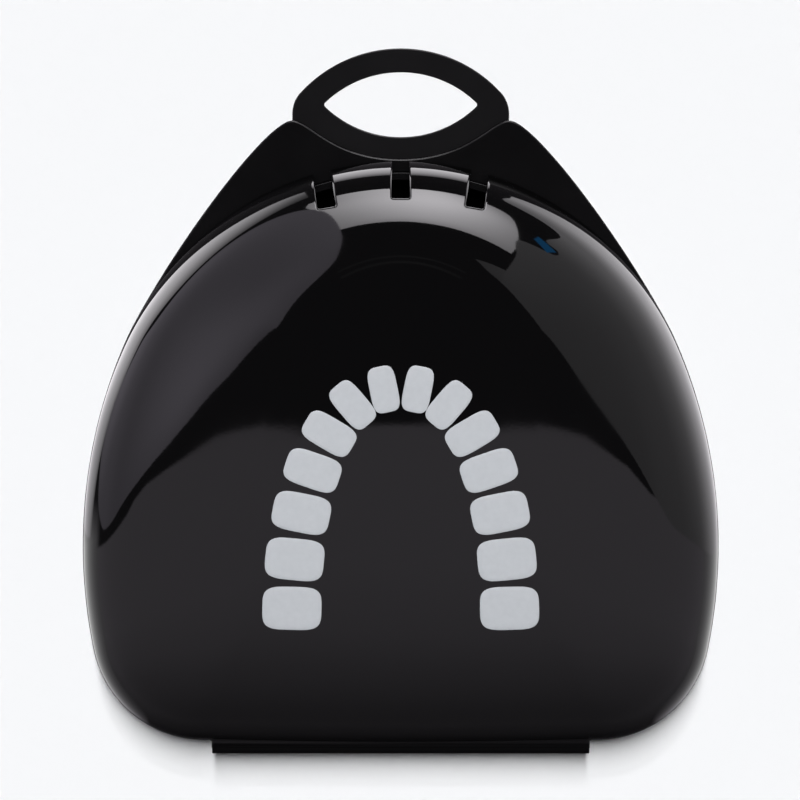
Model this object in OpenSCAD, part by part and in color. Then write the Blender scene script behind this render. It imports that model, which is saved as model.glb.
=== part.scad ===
// Clamshell mouthguard case with its mouthguard, lying on its back half.
// +X is to the right, +Y is towards the carry ring, +Z is up through the lid.
// The origin is on the resting face, under the middle of the closed case.
// Units are millimetres.

/* [Case] */
// Width of the dome across its widest part
case_w = 80; // [76:0.1:84]
// Depth of the back half, from its resting face to the parting line
back_h = 16; // [15:0.5:20]
// Height of the lid half above the parting line
lid_h = 16; // [15:0.5:20]
// Wall thickness of both shells
wall = 1.2; // [0.9:0.1:1.6]
// Thickness of the two rims that meet at the parting line
rim_t = 1.2; // [0.9:0.1:1.5]
// How far the rim stands out past the dome
rim_out = 0.1; // [0.05:0.05:0.4]
// Gap between the two rims when the case is closed
rim_gap = 0.1; // [0.06:0.02:0.3]

/* [Dome shape] */
// Fullness of the lid's crown; 2 is an ellipse, more is squarer
lid_power = 2.6; // [2.2:0.1:3.4]
// How far the crown sits above the middle of the outline
crown_up = 18; // [10:0.5:18]
// Fullness of the back half's turned-in edge
back_power = 2.5; // [2.2:0.1:3.4]
// Size of the back's flat resting face as a share of its outline
back_flat = 0.55; // [0.45:0.05:0.65]

/* [Vents] */
// Width of each vent slot
slot_w = 2.65; // [2:0.05:4]
// Distance between the middle slot and each side slot
slot_pitch = 9.8; // [7:0.1:11]
// How far the side slots lean outwards, in degrees
slot_lean = 9; // [0:1:15]

/* [Carry ring] */
// Half the width of the ring
ring_half_w = 13.7; // [13:0.1:14.5]
// Thickness of the ring plate
ring_t = 1.2; // [0.9:0.1:1.5]
// Half the length of the lens-shaped hole
hole_half_l = 9.8; // [8:0.1:10.5]
// Half the height of the lens-shaped hole
hole_half_h = 4.1; // [3.2:0.1:4.3]

/* [Hinge] */
// Length of the living hinge
hinge_l = 47.7; // [36:0.1:50]
// Thickness of the folded web
web_t = 0.4; // [0.3:0.05:0.5]
// Distance from the hinge leaf's edge to the outside of the fold
fold_r = 0.7; // [0.6:0.05:0.9]

/* [Closure] */
// Height of the locating lip above the parting line
lip_h = 1.5; // [1:0.1:2.2]
// Thickness of the locating lip
lip_t = 0.9; // [0.7:0.1:1.2]
// Clearance between the locating lip and the lid's wall
lip_gap = 0.2; // [0.15:0.01:0.4]

/* [Mouthguard] */
// Overall width across the two arms
guard_w = 60.6; // [56:0.2:61]
// Length from the front to the ends of the arms
guard_l = 44.5; // [40:0.5:46]
// Height of the lip-side wall at the front
guard_h = 20.5; // [16:0.5:21]
// Thickness of the outer layer
guard_wall = 1.6; // [1.2:0.1:2]
// Thickness of the soft inner layer
liner_t = 1.1; // [0.8:0.1:1.3]
// Height of the drain ribs that hold it off the floor
rib_h = 2; // [1.5:0.1:2.5]

/* [Printed mark] */
// Number of tooth shapes in the arch
teeth = 14; // [10:2:16]
// Half the width of the arch, to the middle of its teeth
mark_a = 13.6; // [11:0.1:14]
// Length of the arch, to the middle of its teeth
mark_b = 30.6; // [26:0.1:31]
// Thickness of the ink above the lid
ink_t = 0.1; // [0.05:0.01:0.15]

/* [Hidden] */
$fn = 96;

black_gloss = [0.03, 0.03, 0.035];
black_satin = [0.07, 0.07, 0.075];
ink_grey = [0.75, 0.77, 0.79];
guard_black = [0.06, 0.06, 0.07];
guard_clear = [0.82, 0.86, 0.88];

k = case_w / 80; // plan scale against the drawn size
part_z = back_h; // height of the parting line
lid_z0 = part_z + rim_gap / 2; // underside of the lid's rim
lid_z1 = lid_z0 + rim_t; // top of the lid's rim, where the dome starts
back_z1 = part_z - rim_gap / 2; // top of the back's rim
back_z0 = back_z1 - rim_t; // underside of the back's rim
lid_top = part_z + lid_h;

// The outline is a chain of tangent arcs, written about a pole inside it.
pole_y = -12.45 * k;
half_w = case_w / 2;
out_top = 30.15 * k - pole_y; // top of the outline
out_low = -43 * k - pole_y; // bottom of the outline
side_y = -18.25 * k - pole_y; // height of the side arcs' centres
side_r = 64.35 * k;
corner_r = 14.15 * k;
low_r = 900 * k;
rise = out_top - side_y;
top_r = (pow(side_r, 2) - pow(side_r - half_w, 2) - rise * rise) / (2 * (side_r - rise));
top_c = [0, out_top - top_r];
side_c = [half_w - side_r, side_y];
low_c = [0, out_low + low_r];
corner_c = meet(side_c, side_r - corner_r, low_c, low_r - corner_r);

// Where two circles cross, on the +X side
function meet(c1, r1, c2, r2) =
    let (d = norm(c2 - c1), u = (c2 - c1) / d)
    let (m = (r1 * r1 - r2 * r2 + d * d) / (2 * d), h = sqrt(r1 * r1 - m * m))
    c1 + m * u + h * [u[1], -u[0]];

// Where two tangent arcs join: on the line through both centres
function join_angle(c_big, r_big, c_small) =
    let (u = (c_small - c_big) / norm(c_small - c_big), p = c_big + r_big * u)
    atan2(p[1], p[0]);

// Distance from the pole to a circle along the direction u
function arc_hit(u, c, r) = let (b = u * c) b + sqrt(b * b - c * c + r * r);

// Distance from the pole to the outline at angle a, moved out by d
function edge_r(a, d) =
    let (c = abs(cos(a)), s = sin(a), t = atan2(s, c), u = [c, s])
    t > join_angle(side_c, side_r + d, top_c) ? arc_hit(u, top_c, top_r + d)
    : t > join_angle(side_c, side_r + d, corner_c) ? arc_hit(u, side_c, side_r + d)
    : t > join_angle(low_c, low_r + d, corner_c) ? arc_hit(u, corner_c, corner_r + d)
    : arc_hit(u, low_c, low_r + d);

// Angles round the outline, closer together at the two bottom corners
half_angles = concat([for (a = [-90:6:-54]) a], [for (a = [-52:2:-24]) a], [for (a = [-18:6:90]) a]);
left_angles = [for (i = [len(half_angles) - 2:-1:1]) 180 - half_angles[i]];
angles = concat(half_angles, left_angles);
N = len(angles);

// One closed ring of points at share f of the outline and height z
function ring_at(f, z, d = 0) =
    [for (a = angles) let (r = edge_r(a, d) * f) [r * cos(a), pole_y + r * sin(a), z]];
function flat_ring(d) = [for (p = ring_at(1, 0, d)) [p[0], p[1]]];

// Share of the outline and share of the height at step t of a rounded profile
function prof_f(t, n) = pow(cos(t), 2 / n);
function prof_g(t, n) = pow(sin(t), 2 / n);

steps = [0, 9, 18, 27, 36, 46, 56, 67, 79];

// Triangles between ring i and ring i + 1 of a stack of rings with m points each
function band(i, m) = [for (j = [0:m - 1]) let (a = i * m + j, b = i * m + (j + 1) % m)
    each [[a, a + m, b], [b, a + m, b + m]]];

// The lid's rings ease up towards its crown, which sits above the pole
crown_power = 1.4;
function crown_shift(f) = crown_up * k * (1 - pow(f, crown_power));
function lid_ring(f, z, d = 0) = [for (p = ring_at(f, z, d)) [p[0], p[1] + crown_shift(f), p[2]]];

// A thin dome: outer rings up to a crown, then inner rings back down
function dome_points(z0, h, n, t) = concat(
    [for (s = steps) each lid_ring(prof_f(s, n), z0 + h * prof_g(s, n))],
    [for (s = steps) each lid_ring(prof_f(s, n), z0 + (h - t) * prof_g(s, n), -t)],
    [[0, pole_y + crown_shift(0), z0 + h], [0, pole_y + crown_shift(0), z0 + h - t]]);

module dome(z0, h, n, t) {
    rows = len(steps);
    crown = 2 * rows * N;
    outer_last = (rows - 1) * N;
    inner_first = rows * N;
    inner_last = (2 * rows - 1) * N;
    outer = [for (i = [0:rows - 2]) each band(i, N)];
    inner = [for (i = [rows:2 * rows - 2]) each [for (q = band(i, N)) [q[0], q[2], q[1]]]];
    cap = [for (j = [0:N - 1]) [outer_last + j, crown, outer_last + (j + 1) % N]];
    under = [for (j = [0:N - 1]) [inner_last + j, inner_last + (j + 1) % N, crown + 1]];
    rim = [for (j = [0:N - 1]) let (a = j, b = (j + 1) % N, c = inner_first + a, e = inner_first + b)
        each [[a, b, c], [b, e, c]]];
    polyhedron(points = dome_points(z0, h, n, t), faces = concat(outer, inner, cap, under, rim));
}

// The back half: the same outline, turned in to a flat resting face
function back_f(s) = back_flat + (1 - back_flat) * prof_f(s, back_power);
back_steps = [0, 10, 20, 31, 43, 56, 70];
function back_points(z1, z_low, t) = concat(
    [for (s = back_steps) each ring_at(back_f(s), z1 - (z1 - z_low) * prof_g(s, back_power), -t)],
    ring_at(back_flat, z_low, -t));

module back_bowl(z1, t) {
    rows = len(back_steps) + 1;
    last = (rows - 1) * N;
    first_in = rows * N;
    last_in = (2 * rows - 1) * N;
    outer = [for (i = [0:rows - 2]) each [for (q = band(i, N)) [q[0], q[2], q[1]]]];
    inner = [for (i = [rows:2 * rows - 2]) each band(i, N)];
    foot = [for (j = [0:N - 1]) [last + j, last + (j + 1) % N, 2 * rows * N]];
    floor_in = [for (j = [0:N - 1]) [last_in + j, 2 * rows * N + 1, last_in + (j + 1) % N]];
    rim = [for (j = [0:N - 1]) let (a = j, b = (j + 1) % N, c = first_in + a, e = first_in + b)
        each [[a, c, b], [b, c, e]]];
    polyhedron(
        points = concat(back_points(z1, 0, 0), back_points(z1, t, t), [[0, pole_y, 0], [0, pole_y, t]]),
        faces = concat(outer, inner, foot, floor_in, rim));
}

// Flange outline: the rim, with two rounded ears and a valley at the ring end
ear_x = 13.7 * k;
ear_y = 35.35 * k;
valley_y = 30.45 * k;
ear_foot_a = 32.3; // polar angle where the ear's edge leaves the rim
foot_r = edge_r(ear_foot_a, rim_out);
foot_p = [foot_r * cos(ear_foot_a), pole_y + foot_r * sin(ear_foot_a)];
foot_u = [-sin(27.5), cos(27.5)];
function curve(a, b, c, d, t) =
    pow(1 - t, 3) * a + 3 * pow(1 - t, 2) * t * b + 3 * (1 - t) * t * t * c + t * t * t * d;
ear_side = [for (t = [0:0.08:0.96]) curve(foot_p, foot_p + 12 * k * foot_u,
    [ear_x + 3.2 * k, ear_y], [ear_x, ear_y], t)];
ear_valley = [for (t = [0:0.1:0.9]) curve([ear_x, ear_y], [ear_x - 2.2 * k, ear_y],
    [8.6 * k, valley_y], [0, valley_y], t)];
rim_right = [for (a = half_angles) if (a < ear_foot_a - 2)
    let (r = edge_r(a, rim_out)) [r * cos(a), pole_y + r * sin(a)]];
flange_right = concat(rim_right, ear_side, ear_valley);
flange_left = [for (i = [len(flange_right) - 1:-1:1]) [-flange_right[i][0], flange_right[i][1]]];
flange_edge = concat(flange_right, [[0, valley_y]], flange_left);

module flange_plate(inset) {
    difference() {
        polygon(flange_edge);
        polygon(flat_ring(-inset));
    }
}

// Carry ring outline: a wide arc with two tangent corner arcs and straight sides
ring_top = 44.5 * k;
ring_r = 17.15 * k;
ring_corner = 4 * k;
ring_c = ring_top - ring_r;
corner_x = ring_half_w - ring_corner;
corner_y = ring_c + sqrt(pow(ring_r - ring_corner, 2) - corner_x * corner_x);
hole_r = (hole_half_l * hole_half_l + hole_half_h * hole_half_h) / (2 * hole_half_h);
hole_y = 37.4 * k;

module ring_outline() {
    reach = ring_r * 1.2;
    far_x = reach * corner_x / (ring_r - ring_corner);
    far_y = ring_c + reach * (corner_y - ring_c) / (ring_r - ring_corner);
    intersection() {
        translate([0, ring_c]) circle(r = ring_r);
        polygon([[0, ring_c], [far_x, far_y], [0, ring_top + 9], [-far_x, far_y]]);
    }
    for (s = [-1, 1]) translate([s * corner_x, corner_y]) circle(r = ring_corner);
    translate([-ring_half_w, valley_y - 1]) square([2 * ring_half_w, corner_y - valley_y + 1]);
}

module lens_hole() {
    intersection_for (s = [-1, 1])
        translate([0, hole_y + s * (hole_r - hole_half_h)]) circle(r = hole_r);
}

module carry_ring() {
    color(black_satin) translate([0, 0, back_z1 - ring_t]) linear_extrude(ring_t) difference() {
        ring_outline();
        polygon(flange_edge);
        lens_hole();
    }
}

module back_shell() {
    color(black_gloss) back_bowl(back_z0, wall);
}

module back_flange() {
    color(black_satin) translate([0, 0, back_z0]) linear_extrude(rim_t)
        flange_plate(wall + lip_gap + lip_t);
}

module locating_lip() {
    color(black_satin) translate([0, 0, back_z1]) linear_extrude(lip_h + rim_gap / 2) difference() {
        polygon(flat_ring(-wall - lip_gap));
        polygon(flat_ring(-wall - lip_gap - lip_t));
    }
}

// A small bead on the lip's outer face that clicks against the lid's wall
bead_arc = 20;
bead_out = 0.12;
module snap_bead() {
    r = top_r - wall - lip_gap;
    z = part_z + lip_h * 0.55;
    color(black_satin) translate([0, pole_y + top_c[1], 0]) rotate([0, 0, 90 - bead_arc / 2])
        rotate_extrude(angle = bead_arc) polygon([[r, z - 0.3], [r + bead_out, z], [r, z + 0.3]]);
}

// Ribs on the floor: two long ones under the arms, two short ones under the front
rib_w = 1.6;
long_rib_x = 18.4 * k;
long_rib = [-25 * k, -4.6 * k];
short_rib_x = 6 * k;
short_rib = [1 * k, 8.5 * k];
module drain_ribs() {
    color(black_gloss) for (s = [-1, 1]) {
        translate([s * long_rib_x - rib_w / 2, long_rib[0], wall])
            cube([rib_w, long_rib[1] - long_rib[0], rib_h]);
        translate([s * short_rib_x - rib_w / 2, short_rib[0], wall])
            cube([rib_w, short_rib[1] - short_rib[0], rib_h]);
    }
}

// Living hinge: a leaf on each rim and a folded web between their edges
leaf_y = -43.8 * k;
module hinge_leaf(z) {
    translate([0, 0, z]) linear_extrude(rim_t) difference() {
        translate([-hinge_l / 2, leaf_y]) square([hinge_l, 3]);
        polygon(flange_edge);
        translate([-hinge_l / 2, out_low + pole_y + 1]) square([hinge_l, 3]);
    }
}
module back_hinge_leaf() {
    color(black_satin) hinge_leaf(back_z0);
}
module lid_hinge_leaf() {
    color(black_satin) hinge_leaf(lid_z0);
}
module hinge_web() {
    color(black_satin) translate([-hinge_l / 2, leaf_y, part_z]) rotate([90, 0, 90])
        linear_extrude(hinge_l) difference() {
            circle(r = fold_r);
            circle(r = fold_r - web_t);
            translate([0, -fold_r - 1]) square([fold_r + 1, 2 * fold_r + 2]);
        }
}

// Vent slots through the dome's shoulder, down to the lid's rim
slot_end = 25 * k;
side_slot_end = 23.85 * k;
module vent_slots() {
    h = lid_h + 2;
    translate([-slot_w / 2, slot_end, lid_z1]) cube([slot_w, 9, h]);
    for (s = [-1, 1])
        translate([s * (slot_pitch - 0.6), side_slot_end, lid_z1]) rotate([0, 0, -s * slot_lean])
            translate([-slot_w / 2, 0, 0]) cube([slot_w, 9, h]);
}

module lid_dome() {
    color(black_gloss) difference() {
        dome(lid_z1, lid_top - lid_z1, lid_power, wall);
        vent_slots();
    }
}

module lid_flange() {
    color(black_satin) translate([0, 0, lid_z0]) linear_extrude(rim_t) flange_plate(wall);
}

// Printed mark: an arch of tooth shapes laid on the crowned lid
mark_y = -29 * k; // open end of the arch
mark_gap = 0.8 * k; // bare strip between two teeth
island = 20; // outline points of one tooth
// Which scaled outline of the lid passes through (x, y), closed in on in n steps
function lid_share(x, y, f = 0.5, n = 24) = n == 0 ? f :
    let (dy = y - pole_y - crown_shift(f))
    lid_share(x, y, 0.5 * f + 0.5 * norm([x, dy]) / edge_r(atan2(dy, x), 0), n - 1);
function lid_at(x, y) =
    lid_z1 + (lid_top - lid_z1) * pow(1 - pow(lid_share(x, y), lid_power), 1 / lid_power);
// The arch is half a rounded square; its table of lengths sets the teeth side by side
mark_power = 2.3;
function arch_p(a) = [mark_a * k * sign(cos(a)) * pow(abs(cos(a)), 2 / mark_power),
    mark_y + mark_b * k * pow(abs(sin(a)), 2 / mark_power)];
function arch_n(a) = let (v = [sign(cos(a)) * pow(abs(cos(a)), 2 - 2 / mark_power) / mark_a,
    pow(abs(sin(a)), 2 - 2 / mark_power) / mark_b]) v / norm(v);
arch = [for (a = 0, s = 0; a <= 180; s = s + norm(arch_p(a + 1) - arch_p(a)), a = a + 1) [s, a]];
arch_l = arch[len(arch) - 1][0];
function tooth_angle(u) = lookup(arch_l * (u + 0.03 * sin(360 * u)), arch);
function tooth_w(u) = arch_l / teeth * (1 + 0.03 * 2 * PI * cos(360 * u)) - mark_gap;
function rounded(t, w, l) = [w / 2 * sign(cos(t)) * pow(abs(cos(t)), 0.5),
    l / 2 * sign(sin(t)) * pow(abs(sin(t)), 0.5)];
module tooth(u) {
    a = tooth_angle(u);
    c = arch_p(a);
    out = arch_n(a);
    side = [out[1], -out[0]];
    l = (5.6 + 1.8 * abs(cos(a))) * k;
    flat = [for (j = [0:island - 1]) let (q = rounded(360 * j / island, tooth_w(u), l))
        c + q[0] * side + q[1] * out];
    all = concat(flat, [c]);
    low = [for (p = all) [p[0], p[1], lid_at(p[0], p[1]) - 0.04]];
    high = [for (p = all) [p[0], p[1], lid_at(p[0], p[1]) + ink_t]];
    m = island + 1;
    faces = [for (j = [0:island - 1]) let (n = (j + 1) % island)
        each [[j, n, island], [m + n, m + j, m + island], [j, m + j, n], [n, m + j, m + n]]];
    polyhedron(points = concat(low, high), faces = faces);
}
module printed_mark() {
    color(ink_grey) for (i = [0:teeth - 1]) tooth((i + 0.5) / teeth);
}

// Mouthguard: a channel swept round a half-ellipse, bite side down on the ribs
guard_z = wall + rib_h + 0.1;
guard_back = -28.8;
arm_w = 7; // half the channel's width at the arms' ends
front_w = 6; // half the channel's width at the front
flare = 0.5; // how far the lip-side wall leans out
stations = 36;
function path_p(a) = [(guard_w / 2 - arm_w - flare) * cos(a), guard_back + (guard_l - front_w - flare) * sin(a)];
function path_n(a) =
    let (v = [cos(a) / (guard_w / 2 - arm_w - flare), sin(a) / (guard_l - front_w - flare)]) v / norm(v);

// Cross-section at station angle a, from the tongue side's top to the lip side's
// top: x runs outwards, y runs up. e moves it in from the outer face.
function section(a, e) =
    let (s = sin(a), w = arm_w + (front_w - arm_w) * s)
    let (h_in = 10 + 4 * s, h_out = 14 + (guard_h - 14) * s)
    [[-w + e, h_in], [-w + e, 4], [-w + e * 0.7 + 0.5, 1.2 + e * 0.8], [-w + 1.9 + e * 0.3, e],
    [w - 1.9 - e * 0.3, e], [w - e * 0.7 - 0.5, 1.2 + e * 0.8], [w - e, 4], [w + flare - e, h_out]];
rows_s = 8;

function station(a, e0, e1) = concat(section(a, e0), section(a, e1));
function layer_points(e0, e1) = [for (i = [0:stations])
    let (a = 180 * i / stations, p = path_p(a), n = path_n(a))
    each [for (q = station(a, e0, e1)) [p[0] + n[0] * q[0], p[1] + n[1] * q[0], guard_z + q[1]]]];

module layer(e0, e1) {
    m = 2 * rows_s;
    // order round one section: outer face points, then inner face points backwards
    loop = concat([for (j = [0:rows_s - 1]) j], [for (j = [rows_s - 1:-1:0]) rows_s + j]);
    sides = [for (i = [0:stations - 1]) each [for (j = [0:m - 1])
        let (a = i * m + loop[j], b = i * m + loop[(j + 1) % m])
        each [[a, b, a + m], [b, b + m, a + m]]]];
    start = [for (j = [0:rows_s - 2]) each [[j, rows_s + j, j + 1], [j + 1, rows_s + j, rows_s + j + 1]]];
    end_n = stations * m;
    finish = [for (q = start) [end_n + q[0], end_n + q[2], end_n + q[1]]];
    polyhedron(points = layer_points(e0, e1), faces = concat(sides, start, finish));
}

module guard_outer_layer() {
    color(guard_black) layer(0, guard_wall);
}
module guard_inner_layer() {
    color(guard_clear) layer(guard_wall + 0.05, guard_wall + 0.05 + liner_t);
}

back_shell();
back_flange();
carry_ring();
locating_lip();
snap_bead();
drain_ribs();
back_hinge_leaf();
hinge_web();
lid_dome();
lid_flange();
lid_hinge_leaf();
printed_mark();
guard_outer_layer();
guard_inner_layer();
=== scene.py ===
import math

import bpy
import numpy as np
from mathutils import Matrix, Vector
from mathutils.geometry import tessellate_polygon


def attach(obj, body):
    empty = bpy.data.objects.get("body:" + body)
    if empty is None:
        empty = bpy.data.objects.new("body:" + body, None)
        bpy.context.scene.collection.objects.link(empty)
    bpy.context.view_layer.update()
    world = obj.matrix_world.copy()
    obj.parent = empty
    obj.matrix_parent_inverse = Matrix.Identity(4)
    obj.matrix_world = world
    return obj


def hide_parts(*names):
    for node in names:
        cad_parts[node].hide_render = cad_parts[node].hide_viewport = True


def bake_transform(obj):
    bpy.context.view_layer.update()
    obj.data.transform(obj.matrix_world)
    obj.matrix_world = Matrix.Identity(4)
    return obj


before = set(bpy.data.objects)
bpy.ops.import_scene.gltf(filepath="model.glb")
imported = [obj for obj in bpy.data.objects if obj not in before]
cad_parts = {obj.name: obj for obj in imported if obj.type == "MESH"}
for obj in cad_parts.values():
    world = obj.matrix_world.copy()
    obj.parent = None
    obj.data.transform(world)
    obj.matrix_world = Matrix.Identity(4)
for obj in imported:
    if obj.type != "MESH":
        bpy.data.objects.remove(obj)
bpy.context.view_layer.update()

MM = 0.001

# ---------------------------------------------------------------- sizes, in millimetres
HALF_W = 40.0  # half the dome's width
POLE_Y = -12.45  # the point the outline is written about
OUT_TOP = 30.15 - POLE_Y
OUT_LOW = -43.0 - POLE_Y
SIDE_Y = -18.25 - POLE_Y
SIDE_R, CORNER_R, LOW_R = 64.35, 14.15, 900.0
WALL = 1.2
RIM_OUT = 0.1
PART_Z = 16.0
LID_Z0, LID_Z1, LID_TOP = 16.05, 17.25, 32.0
BACK_Z0, BACK_Z1 = 14.75, 15.95
LID_POWER = 2.6
APEX_UP, APEX_POWER = 18.0, 1.4  # the crown sits above the pole, and eases back to it at the rim
BACK_POWER, BACK_FLAT = 2.5, 0.55
LIP_GAP, LIP_T, LIP_H = 0.2, 0.9, 1.5
EAR = (13.7, 35.35)
VALLEY_Y = 30.45
SEAM_GAP = 0.05  # between the ring and the back rim
RING_HALF_W, RING_TOP, RING_R, RING_CORNER = 13.7, 44.5, 17.15, 4.0
HOLE_Y, HOLE_L, HOLE_H, HOLE_TIP = 37.4, 9.8, 4.1, 0.4
HINGE_HALF, LEAF_Y = 23.85, -43.8
FOLD_R, WEB_T = 0.7, 0.4
SLOT_W, SLOT_LEAN, SLOT_LIP = 2.8, 9, 0.3
SLOTS = ((0.0, 25.0, 0), (9.2, 23.85, SLOT_LEAN), (-9.2, 23.85, -SLOT_LEAN))  # middle, inner end, lean


# ---------------------------------------------------------------- outline
def meet(c1, r1, c2, r2):
    d = np.linalg.norm(c2 - c1)
    u = (c2 - c1) / d
    m = (r1 * r1 - r2 * r2 + d * d) / (2 * d)
    return c1 + m * u + math.sqrt(r1 * r1 - m * m) * np.array([u[1], -u[0]])


RISE = OUT_TOP - SIDE_Y
TOP_R = (SIDE_R**2 - (SIDE_R - HALF_W) ** 2 - RISE**2) / (2 * (SIDE_R - RISE))
TOP_C = np.array([0.0, OUT_TOP - TOP_R])
SIDE_C = np.array([HALF_W - SIDE_R, SIDE_Y])
LOW_C = np.array([0.0, OUT_LOW + LOW_R])
CORNER_C = meet(SIDE_C, SIDE_R - CORNER_R, LOW_C, LOW_R - CORNER_R)


def join_angle(c_big, r_big, c_small):
    u = (c_small - c_big) / np.linalg.norm(c_small - c_big)
    p = c_big + r_big * u
    return math.degrees(math.atan2(p[1], p[0]))


def edge_r(a, d=0.0):
    """Distance from the pole to the outline moved out by d, at angle a in degrees."""
    a = np.asarray(a, float)
    c, s = np.abs(np.cos(np.radians(a))), np.sin(np.radians(a))
    t = np.degrees(np.arctan2(s, c))

    def hit(centre, r):
        b = c * centre[0] + s * centre[1]
        return b + np.sqrt(np.maximum(b * b - centre @ centre + r * r, 0))

    bottom = hit(LOW_C, LOW_R + d)
    low = np.where(t > join_angle(LOW_C, LOW_R + d, CORNER_C), hit(CORNER_C, CORNER_R + d), bottom)
    side = np.where(t > join_angle(SIDE_C, SIDE_R + d, CORNER_C), hit(SIDE_C, SIDE_R + d), low)
    return np.where(t > join_angle(SIDE_C, SIDE_R + d, TOP_C), hit(TOP_C, TOP_R + d), side)


def outline(angles, d=0.0):
    r = edge_r(angles, d)
    return np.stack([r * np.cos(np.radians(angles)), POLE_Y + r * np.sin(np.radians(angles))], -1)


def round_angles():
    """Angles once round the outline, closer together at its tight lower corners."""
    half = np.concatenate([
        np.linspace(-90, -54, 24, endpoint=False),
        np.linspace(-54, -22, 64, endpoint=False),
        np.linspace(-22, 90, 96, endpoint=False),
    ])
    return np.sort(np.concatenate([half, [90.0], 180 - half[:0:-1]]))


ANGLES = round_angles()


def lid_share(x, y):
    """Which scaled outline of the lid passes through (x, y): 0 at the crown, 1 at the rim."""
    f = np.full(np.shape(x), 0.5)
    for _ in range(60):
        dy = y - (POLE_Y + APEX_UP * (1 - np.maximum(f, 1e-9) ** APEX_POWER))
        f = 0.5 * f + 0.5 * np.hypot(x, dy) / edge_r(np.degrees(np.arctan2(dy, x)))
    return f


def lid_height(x, y):
    f = lid_share(np.asarray(x, float), np.asarray(y, float))
    return LID_Z1 + (LID_TOP - LID_Z1) * np.maximum(1 - f**LID_POWER, 0) ** (1 / LID_POWER)


def curve(a, b, c, d, n, end=False):
    t = np.linspace(0, 1, n, endpoint=end)[:, None]
    a, b, c, d = (np.array(p, float) for p in (a, b, c, d))
    return (1 - t) ** 3 * a + 3 * (1 - t) ** 2 * t * b + 3 * (1 - t) * t * t * c + t**3 * d


def arc(cx, cy, r, a0, a1, n):
    a = np.radians(np.linspace(a0, a1, n))
    return np.stack([cx + r * np.cos(a), cy + r * np.sin(a)], -1)


FOOT_A = 32.3
FOOT = outline(np.array([FOOT_A]), RIM_OUT)[0]
FOOT_U = np.array([-math.sin(math.radians(27.5)), math.cos(math.radians(27.5))])
EAR_SIDE = curve(FOOT, FOOT + 12 * FOOT_U, (EAR[0] + 3.2, EAR[1]), EAR, 60)
EAR_VALLEY = curve(EAR, (EAR[0] - 2.2, EAR[1]), (8.6, VALLEY_Y), (0, VALLEY_Y), 60)


def mirrored(right):
    """A closed loop, anticlockwise, from its right half listed from the bottom to the top."""
    left = right[::-1] * np.array([-1, 1])
    left = left[np.abs(left[:, 0]) > 1e-6]
    return np.concatenate([right, left])


def rim_right():
    """The right half of a rim with its hinge leaf, from the leaf's bottom edge up to the ear's foot."""
    a = np.arange(-88, FOOT_A - 0.5, 0.5)
    body = outline(a, RIM_OUT)
    body = body[body[:, 0] > HINGE_HALF]
    y_at = np.interp(HINGE_HALF, outline(a, RIM_OUT)[:60, 0], outline(a, RIM_OUT)[:60, 1])
    leaf = np.array([[0, LEAF_Y], [8, LEAF_Y], [16, LEAF_Y], [HINGE_HALF, LEAF_Y], [HINGE_HALF, y_at]])
    return np.concatenate([leaf, body, EAR_SIDE])


def lens_loop():
    r = (HOLE_L**2 + HOLE_H**2) / (2 * HOLE_H)
    tip_x = math.sqrt((r - HOLE_TIP) ** 2 - (r - HOLE_H) ** 2)
    turn = math.degrees(math.atan2(r - HOLE_H, tip_x))
    top = arc(0, HOLE_Y + HOLE_H - r, r, turn, 180 - turn, 60)
    low = arc(0, HOLE_Y - HOLE_H + r, r, 180 + turn, 360 - turn, 60)
    left = arc(-tip_x, HOLE_Y, HOLE_TIP, 180 - turn, 180 + turn, 14)[1:-1]
    right = arc(tip_x, HOLE_Y, HOLE_TIP, -turn, turn, 14)[1:-1]
    return np.concatenate([top, left, low, right])


def ring_right():
    """The ring's outline from the ear's peak up to its top."""
    cx = RING_HALF_W - RING_CORNER
    base = RING_TOP - RING_R
    cy = base + math.sqrt((RING_R - RING_CORNER) ** 2 - cx * cx)
    turn = math.degrees(math.atan2(cy - base, cx))
    side = np.array([[RING_HALF_W, EAR[1]], [RING_HALF_W, EAR[1] + 0.4]])
    corner = arc(cx, cy, RING_CORNER, 0, turn, 24)
    return np.concatenate([side, corner, arc(0, base, RING_R, turn, 90, 60)[1:]])


# ---------------------------------------------------------------- meshes
def add_piece(name, verts, faces, material, body, nodes, smooth=True):
    me = bpy.data.meshes.new(name)
    points = [tuple(v) for v in np.asarray(verts, float) * MM]
    me.from_pydata(points, [], [tuple(int(i) for i in f) for f in faces])
    me.validate()
    me.polygons.foreach_set("use_smooth", [smooth] * len(me.polygons))
    me.update()
    ob = bpy.data.objects.new(name, me)
    bpy.context.scene.collection.objects.link(ob)
    me.materials.append(material)
    if body:
        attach(ob, body)
    if nodes:
        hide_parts(*nodes)
    return ob


def sharp_by_angle(ob, degrees):
    """Smooth shading that stops at edges sharper than this."""
    bpy.context.view_layer.objects.active = ob
    ob.select_set(True)
    bpy.ops.object.shade_smooth_by_angle(angle=math.radians(degrees))
    ob.select_set(False)


def inset(loop, d):
    """The loop moved to its left by d."""
    e = np.roll(loop, -1, 0) - loop
    e /= np.linalg.norm(e, axis=1, keepdims=True)
    n = np.stack([-e[:, 1], e[:, 0]], -1)
    m = n + np.roll(n, 1, 0)
    m /= np.linalg.norm(m, axis=1, keepdims=True)
    scale = 1 / np.maximum((m * n).sum(1), 0.35)
    return loop + m * scale[:, None] * d


def edge_frames(loop):
    """For each run of a loop, the direction into the material at its two ends, kept apart at corners."""
    e = np.roll(loop, -1, 0) - loop
    e /= np.linalg.norm(e, axis=1, keepdims=True)
    n = np.stack([-e[:, 1], e[:, 0]], -1)
    m = n + np.roll(n, 1, 0)
    m /= np.linalg.norm(m, axis=1, keepdims=True)
    soft = (m * n).sum(1, keepdims=True) > math.cos(math.radians(14))
    return np.where(soft, m, n), np.where(np.roll(soft, -1, 0), np.roll(m, -1, 0), n)


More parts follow.
